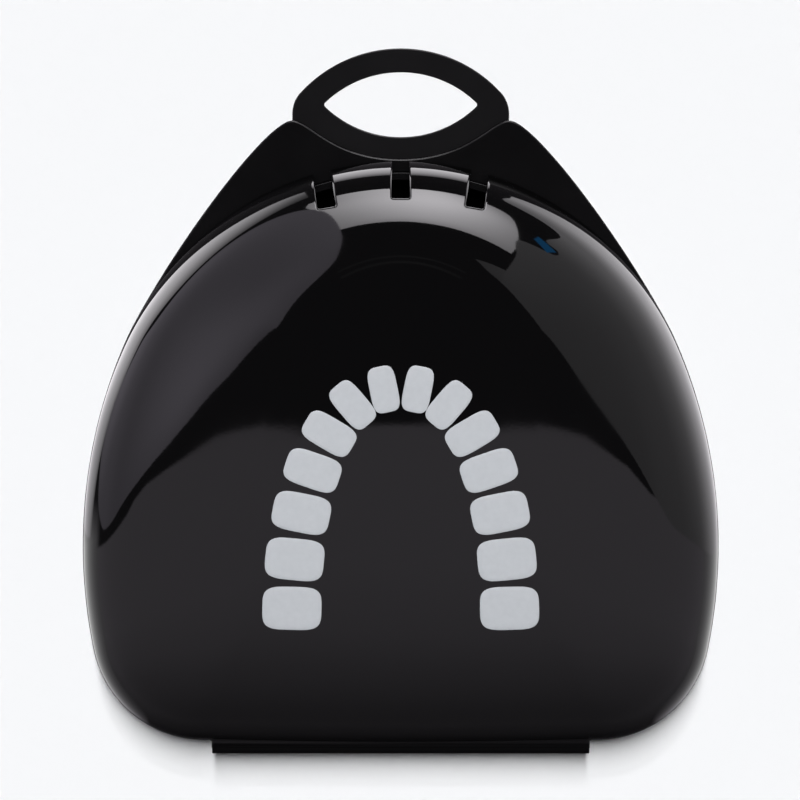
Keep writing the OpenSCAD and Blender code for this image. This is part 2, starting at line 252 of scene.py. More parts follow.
def plate(name, loops, z0, z1, bevel, material, body, nodes, hole_bevel=None):
    """A flat plate with rounded edges. The first loop is anticlockwise, and the others are holes."""
    q = 4
    loops = [np.asarray(p, float) for p in loops]
    loops = [loops[0]] + [p[::-1] for p in loops[1:]]
    turns = [math.pi / 2 * i / q for i in range(q + 1)]
    up = [(math.sin(t), -math.cos(t)) for t in turns] + [(math.cos(t), math.sin(t)) for t in turns]
    rows = len(up)
    verts, faces, normals, starts = [], [], [], []
    for k, loop in enumerate(loops):
        size = bevel if k == 0 or hole_bevel is None else hole_bevel
        starts.append(len(verts))
        m = len(loop)
        for i, (o, h) in enumerate(up):
            z = (z0 + size * (1 + h)) if i <= q else (z1 - size * (1 - h))
            verts += [(x, y, z) for x, y in inset(loop, size * (1 - o))]
        here, there = edge_frames(loop)
        for r in range(rows - 1):
            for i in range(m):
                a, b = starts[-1] + r * m + i, starts[-1] + r * m + (i + 1) % m
                faces.append((a, b, b + m, a + m))
                for row, way in ((r, here), (r, there), (r + 1, there), (r + 1, here)):
                    normals.append((-way[i][0] * up[row][0], -way[i][1] * up[row][0], up[row][1]))
    for row, down in ((0, True), (rows - 1, False)):
        flat, index = [], []
        for s, loop in zip(starts, loops):
            m = len(loop)
            flat.append([(*verts[s + row * m + i][:2], 0.0) for i in range(m)])
            index += [s + row * m + i for i in range(m)]
        for tri in tessellate_polygon(flat):
            t = [index[k] for k in tri]
            p = np.array([verts[k][:2] for k in t])
            left = (p[1][0] - p[0][0]) * (p[2][1] - p[0][1]) - (p[1][1] - p[0][1]) * (p[2][0] - p[0][0]) > 0
            faces.append(t if left != down else t[::-1])
            normals += [(0, 0, -1 if down else 1)] * 3
    ob = add_piece(name, verts, faces, material, body, nodes)
    if len(ob.data.loops) == len(normals):
        ob.data.normals_split_custom_set(normals)
    else:
        sharp_by_angle(ob, 50)
    return ob


def shell_grid(rings):
    """Vertices and quads of a stack of closed rings."""
    m = len(rings[0])
    verts = np.concatenate(rings)
    faces = []
    for r in range(len(rings) - 1):
        for i in range(m):
            a, b = r * m + i, r * m + (i + 1) % m
            faces.append((a, b, b + m, a + m))
    return verts, faces


def lid_ring(f, z, d):
    r = edge_r(ANGLES, d) * f
    y = POLE_Y + r * np.sin(np.radians(ANGLES)) + APEX_UP * (1 - f**APEX_POWER)
    return np.stack([r * np.cos(np.radians(ANGLES)), y, np.full(len(ANGLES), z)], -1)


def lid_rings(d, h, rows):
    out = []
    for t in np.radians(np.linspace(0, 90, rows, endpoint=False)):
        f, g = math.cos(t) ** (2 / LID_POWER), math.sin(t) ** (2 / LID_POWER)
        out.append(lid_ring(f, LID_Z1 + h * g, d))
    return out


def box_mesh(name, points, z0, z1):
    """A straight-sided cutter from an outline."""
    n = len(points)
    verts = [(x * MM, y * MM, z0 * MM) for x, y in points] + [(x * MM, y * MM, z1 * MM) for x, y in points]
    faces = [tuple(range(n))[::-1], tuple(range(n, 2 * n))]
    faces += [(i, (i + 1) % n, n + (i + 1) % n, n + i) for i in range(n)]
    me = bpy.data.meshes.new(name)
    me.from_pydata(verts, [], faces)
    ob = bpy.data.objects.new(name, me)
    bpy.context.scene.collection.objects.link(ob)
    return ob


def slot_path(spot):
    """A slot's plan from the rim, round its inner end and back, with the way into the slot at each point."""
    cx, end_y, lean = spot
    w, r = SLOT_W / 2, 0.5
    run = np.linspace(8, r, 70, endpoint=False)
    turn = np.radians(np.linspace(0, 90, 9))
    left = [(-w, y, 1, 0) for y in run]
    left += [(-w + r - r * math.cos(t), r - r * math.sin(t), math.cos(t), math.sin(t)) for t in turn]
    half = np.array(left + [(x, 0, 0, 1) for x in np.linspace(-w + r, 0, 5)[1:]])
    path = np.concatenate([half, (half * [-1, 1, -1, 1])[-2::-1]])
    c, s = math.cos(math.radians(lean)), math.sin(math.radians(lean))
    spin = np.array([[c, -s], [s, c]])
    return path[:, :2] @ spin + [cx, end_y], path[:, 2:] @ spin


def make_slot_lips(material):
    """The rounded edge of each slot, from the lid's face down its wall."""
    verts, faces = [], []
    for spot in SLOTS:
        at, into = slot_path(spot)
        keep = lid_share(at[:, 0], at[:, 1]) < 0.9995
        at, into = at[keep], into[keep]
        rows = [(-0.12, -0.004), (0.0, -0.001)]
        rows += [(math.sin(t), 0.42 * (1 - math.cos(t))) for t in np.radians(np.linspace(0, 88, 12))[1:]]
        base, m = len(verts), len(at)
        for t, drop in rows:
            p = at + into * SLOT_LIP * t
            z = np.maximum(lid_height(p[:, 0], p[:, 1]) - drop, LID_Z1 - 0.02)
            verts += [(x, y, h) for (x, y), h in zip(p, z)]
        verts += [(x, y, max(h - 1.9, LID_Z1 - 0.05)) for x, y, h in verts[-m:]]
        for r in range(len(rows)):
            for i in range(m - 1):
                q = base + r * m + i
                faces.append((q, q + 1, q + m + 1, q + m))
    ob = add_piece("slot_edges", verts, faces, material, "lid_half", None)
    return ob


def lid_normals(co):
    """Outward direction of the lid's family of surfaces at these points, in millimetres."""
    e = 0.02

    def level(x, y, z):
        g = np.maximum((z - LID_Z1) / (LID_TOP - LID_Z1), 0)
        return lid_share(x, y) ** LID_POWER + g**LID_POWER

    x, y, z = co[:, 0], co[:, 1], co[:, 2]
    n = np.stack([
        level(x + e, y, z) - level(x - e, y, z),
        level(x, y + e, z) - level(x, y - e, z),
        level(x, y, z + e) - level(x, y, z - e),
    ], -1)
    return n / np.maximum(np.linalg.norm(n, axis=1, keepdims=True), 1e-12)


def make_lid(material):
    outer = lid_rings(0, LID_TOP - LID_Z1, 84)
    inner = lid_rings(-WALL, LID_TOP - LID_Z1 - WALL, 48)
    apex_y = POLE_Y + APEX_UP
    m = len(ANGLES)
    vo, fo = shell_grid(outer)
    vi, fi = shell_grid(inner)
    k = len(vo)
    verts = np.concatenate([vo, vi, [[0, apex_y, LID_TOP], [0, apex_y, LID_TOP - WALL]]])
    faces = list(fo) + [tuple(k + i for i in f[::-1]) for f in fi]
    last_o, last_i, crown = len(vo) - m, k + len(vi) - m, k + len(vi)
    for i in range(m):
        j = (i + 1) % m
        faces.append((last_o + i, last_o + j, crown))
        faces.append((last_i + j, last_i + i, crown + 1))
        faces.append((i, k + i, k + j, j))
    ob = add_piece("lid_dome_shell", verts, faces, material, None, None)
    cutters = [box_mesh("cut", slot_path(spot)[0], LID_Z1 - 0.2, 40) for spot in SLOTS]
    for c in cutters:
        mod = ob.modifiers.new("slot", "BOOLEAN")
        mod.operation, mod.solver, mod.object = "DIFFERENCE", "EXACT", c
    dg = bpy.context.evaluated_depsgraph_get()
    me = bpy.data.meshes.new_from_object(ob.evaluated_get(dg))
    ob.modifiers.clear()
    ob.data = me
    for c in cutters:
        bpy.data.objects.remove(c)
    co = np.zeros(len(me.vertices) * 3)
    me.vertices.foreach_get("co", co)
    co = co.reshape(-1, 3) / MM
    n = lid_normals(co)
    f = lid_share(co[:, 0], co[:, 1])
    g = np.clip((co[:, 2] - LID_Z1) / (LID_TOP - LID_Z1), 0, 1)
    outside = np.abs((f**LID_POWER + g**LID_POWER) ** (1 / LID_POWER) - 1) < 0.004
    loop_n = np.zeros((len(me.loops), 3))
    for p in me.polygons:
        ids = list(p.vertices)
        on_out = bool(outside[ids].all()) and abs(float(np.dot(p.normal, n[ids[0]]))) > 0.8
        on_in = not on_out and float(np.dot(p.normal, n[ids].mean(0))) < -0.93
        for li, vi_ in zip(p.loop_indices, ids):
            loop_n[li] = n[vi_] if on_out else (-n[vi_] if on_in else np.array(p.normal))
    me.polygons.foreach_set("use_smooth", [True] * len(me.polygons))
    me.normals_split_custom_set([tuple(v) for v in loop_n])
    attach(ob, "lid_half")
    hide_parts("lid_dome")
    return ob


def back_ring(s, z_low, d):
    t = math.radians(s)
    f = BACK_FLAT + (1 - BACK_FLAT) * math.cos(t) ** (2 / BACK_POWER)
    z = BACK_Z0 - (BACK_Z0 - z_low) * math.sin(t) ** (2 / BACK_POWER)
    p = outline(ANGLES, d) - np.array([0, POLE_Y])
    return np.column_stack([p * f + np.array([0, POLE_Y]), np.full(len(ANGLES), z)])


def make_back(material):
    steps = np.linspace(0, 90, 44)
    flats = [0.8, 0.5, 0.2]
    outer = [back_ring(s, 0, 0) for s in steps]
    inner = [back_ring(s, WALL, -WALL) for s in steps]
    middle = np.array([0, POLE_Y])
    for q in flats:
        for rings in (outer, inner):
            last = rings[len(steps) - 1]
            rings.append(np.column_stack([(last[:, :2] - middle) * q + middle, last[:, 2]]))
    m = len(ANGLES)
    vo, fo = shell_grid(outer)
    vi, fi = shell_grid(inner)
    k = len(vo)
    verts = np.concatenate([vo, vi, [[0, POLE_Y, 0], [0, POLE_Y, WALL]]])
    faces = [f[::-1] for f in fo] + [tuple(k + i for i in f) for f in fi]
    last_o, last_i, mid = len(vo) - m, k + len(vi) - m, k + len(vi)
    for i in range(m):
        j = (i + 1) % m
        faces.append((last_o + j, last_o + i, mid))
        faces.append((last_i + i, last_i + j, mid + 1))
        faces.append((j, k + j, k + i, i))
    ob = add_piece("back_bowl", verts, faces, material, "back_half", ["back_shell"])
    sharp_by_angle(ob, 50)
    return ob


def make_web(material):
    """The folded web: a thin strip, round in section."""
    mid, h = FOLD_R - WEB_T / 2, WEB_T / 2
    ways = [(-math.cos(t), math.sin(t)) for t in np.radians(np.linspace(-90, 90, 25))]
    path = [(LEAF_Y + mid * a, PART_Z + mid * b, a, b) for a, b in ways]
    outside = [(y + h * a, z + h * b) for y, z, a, b in path]
    inside = [(y - h * a, z - h * b) for y, z, a, b in path]
    first, last = path[0], path[-1]
    section = [(first[0] + 0.25, outside[0][1])] + outside + [(last[0] + 0.25, outside[-1][1])]
    section += [(last[0] + 0.25, inside[-1][1])] + inside[::-1] + [(first[0] + 0.25, inside[0][1])]
    xs = np.linspace(-HINGE_HALF + 0.05, HINGE_HALF - 0.05, 60)
    n = len(section)
    verts = [(x, y, z) for x in xs for y, z in section]
    faces = []
    for i in range(len(xs) - 1):
        for j in range(n):
            a, b = i * n + j, i * n + (j + 1) % n
            faces.append((a, b, b + n, a + n))
    k = len(path)
    for base, flip in ((0, False), ((len(xs) - 1) * n, True)):
        for j in range(k + 1):
            q = (base + j, base + j + 1, base + (n - 2 - j) % n, base + (n - 1 - j) % n)
            faces.append(q[::-1] if flip else q)
    ob = add_piece("hinge_web_strip", verts, faces, material, None, ["hinge_web"])
    sharp_by_angle(ob, 40)
    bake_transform(ob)
    return ob


# ---------------------------------------------------------------- printed mark
TEETH = 14
MARK_A, MARK_B, MARK_Y, MARK_POWER, MARK_GAP, INK_T = 13.6, 30.6, -29.0, 2.3, 0.8, 0.1


def arch_point(a):
    c, s = np.cos(np.radians(a)), np.sin(np.radians(a))
    e = 2 / MARK_POWER
    return np.stack([MARK_A * np.sign(c) * np.abs(c) ** e, MARK_Y + MARK_B * np.abs(s) ** e], -1)


def arch_out(a):
    c, s = math.cos(math.radians(a)), math.sin(math.radians(a))
    e = 2 - 2 / MARK_POWER
    v = np.array([math.copysign(abs(c) ** e, c) / MARK_A, abs(s) ** e / MARK_B])
    return v / np.linalg.norm(v)


def make_print(material):
    a = np.arange(0, 181, 1.0)
    length = np.concatenate([[0], np.cumsum(np.linalg.norm(np.diff(arch_point(a), axis=0), axis=1))])
    verts, faces = [], []
    m, rows = 64, [1.0, 1.0, 0.985, 0.8, 0.55, 0.28]
    for i in range(TEETH):
        u = (i + 0.5) / TEETH
        at = float(np.interp(length[-1] * (u + 0.03 * math.sin(2 * math.pi * u)), length, a))
        w = length[-1] / TEETH * (1 + 0.06 * math.pi * math.cos(2 * math.pi * u)) - MARK_GAP
        l = 5.6 + 1.8 * abs(math.cos(math.radians(at)))
        out = arch_out(at)
        side = np.array([out[1], -out[0]])
        t = 2 * np.pi * np.arange(m) / m
        px = w / 2 * np.sign(np.cos(t)) * np.abs(np.cos(t)) ** 0.5
        py = l / 2 * np.sign(np.sin(t)) * np.abs(np.sin(t)) ** 0.5
        c = arch_point(np.array([at]))[0]
        base = len(verts)
        for k, q in enumerate(rows):
            p = c + q * (px[:, None] * side + py[:, None] * out)
            z = lid_height(p[:, 0], p[:, 1]) + (-0.04 if k == 0 else INK_T - (0.03 if k == 1 else 0))
            verts += [(x, y, h) for (x, y), h in zip(p, z)]
        verts.append((c[0], c[1], float(lid_height(c[0], c[1])) + INK_T))
        for k in range(len(rows) - 1):
            for j in range(m):
                p0, p1 = base + k * m + j, base + k * m + (j + 1) % m
                faces.append((p0, p0 + m, p1 + m, p1))
        top = base + (len(rows) - 1) * m
        faces += [(top + j, base + len(rows) * m, top + (j + 1) % m) for j in range(m)]
    ob = add_piece("printed_teeth", verts, faces, material, "lid_half", ["printed_mark"])
    return ob


# ---------------------------------------------------------------- mouthguard
GUARD_W, GUARD_L, GUARD_H, GUARD_BACK = 60.6, 44.5, 20.5, -28.8
GUARD_Z, GUARD_WALL, LINER_T, ARM_W, FRONT_W, FLARE = 3.3, 1.6, 1.1, 7.0, 6.0, 0.5


def guard_section(a, e):
    """The channel's open outline at station a, moved in by e from its outer face."""
    s = max(math.sin(math.radians(a)), 0)
    w = ARM_W + (FRONT_W - ARM_W) * s
    h_in, h_out = 10 + 4 * s, 14 + (GUARD_H - 14) * s
    return np.array([
        [-w + e, h_in], [-w + e, 4], [-w + e * 0.7 + 0.5, 1.2 + e * 0.8], [-w + 1.9 + e * 0.3, e],
        [w - 1.9 - e * 0.3, e], [w - e * 0.7 - 0.5, 1.2 + e * 0.8], [w - e, 4], [w + FLARE - e, h_out]])


def rounded(loop, times):
    for _ in range(times):
        nxt = np.roll(loop, -1, 0)
        loop = np.stack([0.75 * loop + 0.25 * nxt, 0.25 * loop + 0.75 * nxt], 1).reshape(-1, 2)
    return loop


def guard_layer(name, e0, e1, material, node, tip):
    ax, ay = GUARD_W / 2 - ARM_W - FLARE, GUARD_L - FRONT_W - FLARE
    closing = (0.0, 0.35, 0.62, 0.82, 0.95)
    stations = [(0.0, s) for s in closing] + [(a, 1.0) for a in np.linspace(0, 180, 121)]
    stations += [(180.0, s) for s in closing[::-1]]
    rings = []
    template = None
    for a, share in stations:
        outer, inner = guard_section(a, e0), guard_section(a, e1)
        loop = np.concatenate([outer, inner[::-1]])
        if template is None:
            runs = np.linalg.norm(np.roll(loop, -1, 0) - loop, axis=1)
            template = [max(1, int(round(run / 0.45))) for run in runs]
        pts = []
        for (p, q), n in zip(zip(loop, np.roll(loop, -1, 0)), template):
            pts += [p + (q - p) * i / n for i in range(n)]
        pts = rounded(np.array(pts), 2)
        mid_line = 0.5 * (outer + inner)
        if share < 1:
            near = []
            for p in pts:
                best, at = 1e9, None
                for u, v in zip(mid_line[:-1], mid_line[1:]):
                    w = np.clip(np.dot(p - u, v - u) / np.dot(v - u, v - u), 0, 1)
                    c = u + w * (v - u)
                    d = np.linalg.norm(p - c)
                    if d < best:
                        best, at = d, c
                near.append(at)
            near = np.array(near)
            pts = near + (pts - near) * max(share, 0.02)
        back = -tip * math.sqrt(max(0.0, 1 - share**2))
        c, s = math.cos(math.radians(a)), math.sin(math.radians(a))
        px, py = ax * c, GUARD_BACK + ay * s + (back if share < 1 else 0)
        n = np.array([c / ax, s / ay])
        n /= np.linalg.norm(n)
        rings.append(np.column_stack([px + n[0] * pts[:, 0], py + n[1] * pts[:, 0], GUARD_Z + pts[:, 1]]))
    verts, faces = shell_grid(rings)
    ob = add_piece(name, verts, [f[::-1] for f in faces], material, "mouthguard", [node])
    return ob


# ---------------------------------------------------------------- materials
def new_material(name, base, rough, metallic=0.0, ior=1.5):
    mat = bpy.data.materials.new(name)
    mat.use_nodes = True
    nt = mat.node_tree
    b = nt.nodes["Principled BSDF"]
    b.inputs["Base Color"].default_value = (*base, 1)
    b.inputs["Roughness"].default_value = rough
    b.inputs["Metallic"].default_value = metallic
    b.inputs["IOR"].default_value = ior
    return mat, nt, b


def noise(nt, scale, detail=3.0, rough=0.5, stretch=None):
    tc = nt.nodes.new("ShaderNodeTexCoord")
    mp = nt.nodes.new("ShaderNodeMapping")
    n = nt.nodes.new("ShaderNodeTexNoise")
    n.inputs["Scale"].default_value = scale
    n.inputs["Detail"].default_value = detail
    n.inputs["Roughness"].default_value = rough
    if stretch:
        mp.inputs["Scale"].default_value = stretch
    nt.links.new(tc.outputs["Object"], mp.inputs["Vector"])
    nt.links.new(mp.outputs["Vector"], n.inputs["Vector"])
    return n.outputs["Fac"]


def ranged(nt, value, lo, hi, a=0.35, b=0.65):
    r = nt.nodes.new("ShaderNodeMapRange")
    r.inputs["From Min"].default_value = a
    r.inputs["From Max"].default_value = b
    r.inputs["To Min"].default_value = lo
    r.inputs["To Max"].default_value = hi
    nt.links.new(value, r.inputs["Value"])
    return r.outputs["Result"]


def bump(nt, b, parts):
    """Adds heights in turn: (value, strength, distance in metres)."""
    normal = None
    for value, strength, distance in parts:
        n = nt.nodes.new("ShaderNodeBump")
        n.inputs["Strength"].default_value = strength
        n.inputs["Distance"].default_value = distance
        nt.links.new(value, n.inputs["Height"])
        if normal is not None:
            nt.links.new(normal, n.inputs["Normal"])
        normal = n.outputs["Normal"]
    nt.links.new(normal, b.inputs["Normal"])


def gloss_black():
    mat, nt, b = new_material("gloss_black_plastic", (0.001, 0.001, 0.0011), 0.03)
    haze = ranged(nt, noise(nt, 90, 4), 0.02, 0.05)
    fine = ranged(nt, noise(nt, 900, 3, 0.6, (1, 9, 3)), 0.0, 0.035, 0.62, 0.8)
    add = nt.nodes.new("ShaderNodeMath")
    add.operation = "ADD"
    nt.links.new(haze, add.inputs[0])
    nt.links.new(fine, add.inputs[1])
    nt.links.new(add.outputs[0], b.inputs["Roughness"])
    bump(nt, b, [(noise(nt, 55, 1.5), 0.12, 0.0003), (noise(nt, 2600, 2), 0.02, 0.00002)])
    return mat


def satin_black(name, base, rough, gleam):
    """Moulded satin plastic; on the hinge strip its reflection is turned down, as painted shade."""
    mat, nt, b = new_material(name, (base, base, base * 1.06), rough)
    tc = nt.nodes.new("ShaderNodeTexCoord")
    sep = nt.nodes.new("ShaderNodeSeparateXYZ")
    nt.links.new(tc.outputs["Object"], sep.inputs[0])
    # painted shade: below the rim, on the hinge strip, the specular level drops from gleam to 0.07
    nt.links.new(ranged(nt, sep.outputs["Y"], 0.07, gleam, -0.0433, -0.0431), b.inputs["Specular IOR Level"])
    nt.links.new(ranged(nt, noise(nt, 160, 4), rough - 0.02, rough + 0.02), b.inputs["Roughness"])
    bump(nt, b, [(noise(nt, 7000, 3), 0.22, 0.00004), (noise(nt, 240, 2), 0.06, 0.00004)])
    return mat


def print_ink():
    mat, nt, b = new_material("print_ink", (0.5, 0.52, 0.55), 0.42)
    ramp = nt.nodes.new("ShaderNodeMix")
    ramp.data_type = "RGBA"
    ramp.inputs[6].default_value = (0.47, 0.49, 0.52, 1)
    ramp.inputs[7].default_value = (0.54, 0.56, 0.59, 1)
    nt.links.new(noise(nt, 1300, 4), ramp.inputs[0])
    nt.links.new(ramp.outputs[2], b.inputs["Base Color"])
    nt.links.new(ranged(nt, noise(nt, 500, 3), 0.36, 0.5), b.inputs["Roughness"])
    bump(nt, b, [(noise(nt, 5000, 2), 0.15, 0.00002)])
    return mat


def guard_rubber():
    mat, nt, b = new_material("guard_rubber", (0.012, 0.012, 0.014), 0.36)
    nt.links.new(ranged(nt, noise(nt, 140, 4), 0.28, 0.44), b.inputs["Roughness"])
    bump(nt, b, [(noise(nt, 2400, 3), 0.15, 0.00004), (noise(nt, 130, 2), 0.12, 0.0002)])
    return mat


def guard_gel():
    mat, nt, b = new_material("guard_gel", (0.6, 0.66, 0.7), 0.3)
    b.inputs["Subsurface Weight"].default_value = 0.45
    b.inputs["Subsurface Scale"].default_value = 0.002
    b.inputs["Subsurface Radius"].default_value = (1.0, 0.9, 0.8)
    nt.links.new(ranged(nt, noise(nt, 110, 3), 0.22, 0.38), b.inputs["Roughness"])
    bump(nt, b, [(noise(nt, 1700, 2), 0.12, 0.00004), (noise(nt, 90, 2), 0.14, 0.0002)])
    return mat


GLOSS, INK, RUBBER, GEL = gloss_black(), print_ink(), guard_rubber(), guard_gel()
SATIN = satin_black("satin_black_plastic", 0.0014, 0.2, 0.22)
MATT = satin_black("ring_black_plastic", 0.0028, 0.3, 0.25)

# ---------------------------------------------------------------- pieces
make_lid(GLOSS)
make_slot_lips(GLOSS)
make_back(GLOSS)
right = rim_right()
lid_edge = mirrored(np.concatenate([right, EAR_VALLEY, [[0, VALLEY_Y]]]))
plate("lid_rim", [lid_edge, outline(ANGLES, -WALL)], LID_Z0, LID_Z1, 0.26, SATIN, "lid_half",
      ["lid_flange", "lid_hinge_leaf"], 0.02)
lip_out, lip_in = outline(ANGLES, -WALL - LIP_GAP), outline(ANGLES, -WALL - LIP_GAP - LIP_T)
plate("back_rim", [lid_edge, lip_in], BACK_Z0, BACK_Z1, 0.16, SATIN, "back_half",
      ["back_flange", "back_hinge_leaf"])
seam = EAR_VALLEY - [0, SEAM_GAP]
bow = ring_right()[:-1]
ring_edge = np.concatenate([
    bow, [[0, RING_TOP]], bow[::-1] * [-1, 1],
    seam * [-1, 1], [[0, VALLEY_Y - SEAM_GAP]], seam[::-1][:-1],
])
ring = plate("ring", [ring_edge, lens_loop()], BACK_Z0, BACK_Z1, 0.2, MATT, "back_half",
             ["carry_ring"])
ring.visible_shadow = ring.visible_glossy = False
plate("lip", [lip_out, lip_in], BACK_Z1 - 0.1, PART_Z + LIP_H, 0.07, SATIN, "back_half",
      ["locating_lip"])
make_web(SATIN)
make_print(INK)
guard_layer("guard_outer", 0, GUARD_WALL, RUBBER, "guard_outer_layer", 0.5)
lining = GUARD_WALL + 0.05
guard_layer("guard_lining", lining, lining + LINER_T, GEL, "guard_inner_layer", 0.35)
for node, mat, slot in (("snap_bead", SATIN, "satin_black"), ("drain_ribs", GLOSS, "gloss_black")):
    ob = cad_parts[node]
    ob.data.materials.clear()
    ob.data.materials.append(mat)
    mod = ob.modifiers.new("edge", "BEVEL")
    mod.width, mod.segments, mod.limit_method = (0.00005 if node == "snap_bead" else 0.0004), 3, "ANGLE"


# ---------------------------------------------------------------- stage
def seen_by(ob, camera=False, diffuse=False, glossy=False, shadow=False):
    ob.visible_camera, ob.visible_diffuse, ob.visible_glossy = camera, diffuse, glossy
    ob.visible_transmission, ob.visible_volume_scatter, ob.visible_shadow = camera, False, shadow


def emission(name, colour, strength):
    mat = bpy.data.materials.new(name)
    mat.use_nodes = True
    nt = mat.node_tree
    nt.nodes.clear()
    e = nt.nodes.new("ShaderNodeEmission")
    o = nt.nodes.new("ShaderNodeOutputMaterial")
    e.inputs["Color"].default_value = (*colour, 1)
    e.inputs["Strength"].default_value = strength
    nt.links.new(e.outputs[0], o.inputs["Surface"])
    return mat, nt, e


def stage_mesh(name, verts, faces, mat):
    me = bpy.data.meshes.new(name)
    me.from_pydata(verts, [], faces)
    ob = bpy.data.objects.new(name, me)
    bpy.context.scene.collection.objects.link(ob)
    me.materials.append(mat)
    return ob


floor_mat, _, b = new_material("floor_white", (0.9, 0.907, 0.924), 0.9)
b.inputs["Specular IOR Level"].default_value = 0.0
FLOOR = 3.2
corners = [(-FLOOR, -FLOOR, 0), (FLOOR, -FLOOR, 0), (FLOOR, FLOOR, 0), (-FLOOR, FLOOR, 0)]
floor = stage_mesh("floor", corners, [(0, 1, 2, 3)], floor_mat)
seen_by(floor, camera=True, diffuse=True)

sky_mat, _, _ = emission("backdrop", (0.939, 0.947, 0.965), 1.0)
bpy.ops.mesh.primitive_uv_sphere_add(segments=96, ring_count=48, radius=3)
sky = bpy.context.object
sky.name = "backdrop"
sky.data.materials.append(sky_mat)
seen_by(sky, camera=True)


def through(points, steps=8):
    """A smooth run through the points, along the first axis."""
    p = np.concatenate([[2 * points[0] - points[1]], points, [2 * points[-1] - points[-2]]])
    t = np.linspace(0, 1, steps, endpoint=False)[:, None, None]
    runs = []
    for a, b, c, d in zip(p, p[1:], p[2:], p[3:]):
        bend = (2 * a - 5 * b + 4 * c - d) * t**2 + (3 * b - a - 3 * c + d) * t**3
        runs.append(b + 0.5 * ((c - a) * t + bend))
    return np.concatenate(runs + [points[-1:]])


def panel(name, rows, colour=(1.01, 0.98, 1.02), radius=9):
    """A soft light seen only in reflections. Each point is (azimuth, angle from +Z, brightness)."""
    g = through(np.array(rows, float))
    g = through(g.swapaxes(0, 1)).swapaxes(0, 1)
    az, th = np.radians(g[..., 0]), np.radians(g[..., 1])
    p = radius * np.stack([np.sin(th) * np.cos(az), np.sin(th) * np.sin(az), np.cos(th)], -1)
    n, m = g.shape[:2]
    first = [a * m + b for a in range(n - 1) for b in range(m - 1)]
    faces = [(c, c + 1, c + m + 1, c + m) for c in first]
    mat, nt, e = emission(name, colour, 1.0)
    ob = stage_mesh(name, [tuple(q) for q in p.reshape(-1, 3)], faces, mat)
    level = ob.data.attributes.new("level", "FLOAT", "POINT")
    level.data.foreach_set("value", g[..., 2].ravel())
    read = nt.nodes.new("ShaderNodeAttribute")
    read.attribute_name = "level"
    nt.links.new(read.outputs["Fac"], e.inputs["Strength"])
    seen_by(ob, glossy=True)
    return ob


panel("top_box", [
    [(54, 39, 2.6), (82, 40.5, 4.2), (109, 41, 3)],
    [(55, 47, 3.2), (82, 47, 7), (109, 47, 3.5)],
    [(59, 64, 4), (82, 64, 10), (110, 64, 4.5)],
    [(64, 78, 3), (84, 78, 9), (113, 78, 3)],
    [(75, 84, 5), (88, 84, 8), (112, 85, 3)],
])
panel("left_box", colour=(1.0, 0.93, 1.07), rows=[
    [(150, 17, 0.7), (151, 17, 0.7), (153, 17, 0.7), (154, 17, 0.7)],
    [(125, 20, 0.75), (138, 20, 0.75), (151, 20, 0.8), (160, 20, 0.6)],
    [(114, 26, 0.8), (138, 26, 0.85), (157, 26, 0.95), (168, 26, 0.7)],
    [(109, 40, 0.95), (138, 40, 0.75), (165, 40, 1.1), (175, 40, 0.8)],
    [(111, 70, 0.95), (138, 70, 0.8), (165, 70, 0.7), (180, 70, 0.6)],
    [(122, 87, 0.85), (140, 87, 1.1), (165, 87, 0.75), (181, 87, 0.6)],
    [(149, 96, 1.2), (154, 96, 1.15), (168, 96, 0.75), (180, 96, 0.55)],
    [(158, 107, 1.05), (161, 107, 1.05), (170, 107, 0.75), (177, 107, 0.5)],
    [(165, 118, 0.6), (166, 118, 0.6), (169, 118, 0.6), (171, 118, 0.5)],
])
panel("left_sweep", [
    [(111, 98, 0.3), (127, 94, 0.8), (144, 98, 1.5), (156, 108, 1.5), (168, 118, 0.8), (181, 121, 0.5)],
    [(111, 106, 0.8), (127, 103, 2.2), (144, 106, 2.7), (156, 115, 2.4), (168, 123, 1.4), (181, 127, 1.0)],
    [(111, 112, 1.4), (127, 114, 3.1), (144, 116, 3.5), (156, 123, 2.8), (168, 131, 1.6), (181, 134, 1.2)],
    [(111, 114, 1.2), (127, 122, 3.3), (144, 142, 3.6), (156, 158, 2.6), (168, 173, 1.3), (181, 174, 1.2)],
])
panel("right_sweep", [
    [(24, 21, 0.4), (36, 21, 0.45), (47, 22, 0.45)],
    [(10, 28, 0.4), (30, 28, 0.45), (50, 28, 0.55)],
    [(1, 43, 0.4), (28, 43, 0.5), (53, 41, 0.6)],
    [(-2, 52, 0.45), (28, 52, 0.55), (57, 52, 0.65)],
    [(-3, 60, 0.45), (27, 60, 0.6), (48, 60, 0.65)],
    [(-3, 67, 0.45), (27, 67, 0.65), (48, 67, 0.75)],
    [(-3, 70, 0.45), (27, 70, 0.7), (52, 70, 0.85)],
    [(-3, 91, 0.5), (27, 91, 1.2), (52, 91, 1.4)],
    [(-3, 99, 0.55), (27, 99, 1.5), (66, 99, 1.3)],
    [(-3, 113, 0.8), (27, 115, 2.2), (66, 111, 2.4)],
    [(-3, 127, 0.95), (30, 127, 2.5), (66, 113, 2.3)],
    [(-3, 174, 1.2), (30, 160, 1.6), (66, 117, 2)],
])
panel("right_tip", [
    [(47, 22, 0.4), (47, 24, 0.45), (50, 28, 0.5)],
    [(54, 23, 0.4), (54, 24, 0.45), (55, 27, 0.45)],
    [(60, 25, 0.4), (60.5, 25.2, 0.4), (61, 25.4, 0.4)],
])
panel("blue_glint", colour=(0.08, 0.62, 1.5), radius=8.9, rows=[
    [(54, 63, 1), (54, 69, 1)],
    [(49, 58, 1), (48, 65, 1)],
])
for name, near, far in (("far_arc", 16, 16.8), ("near_arc", 18.5, 19.1)):
    panel(name, [[(60, th - 1, 0.1), (90, th, 0.13), (120, th - 1, 0.1)] for th in (near, far)])
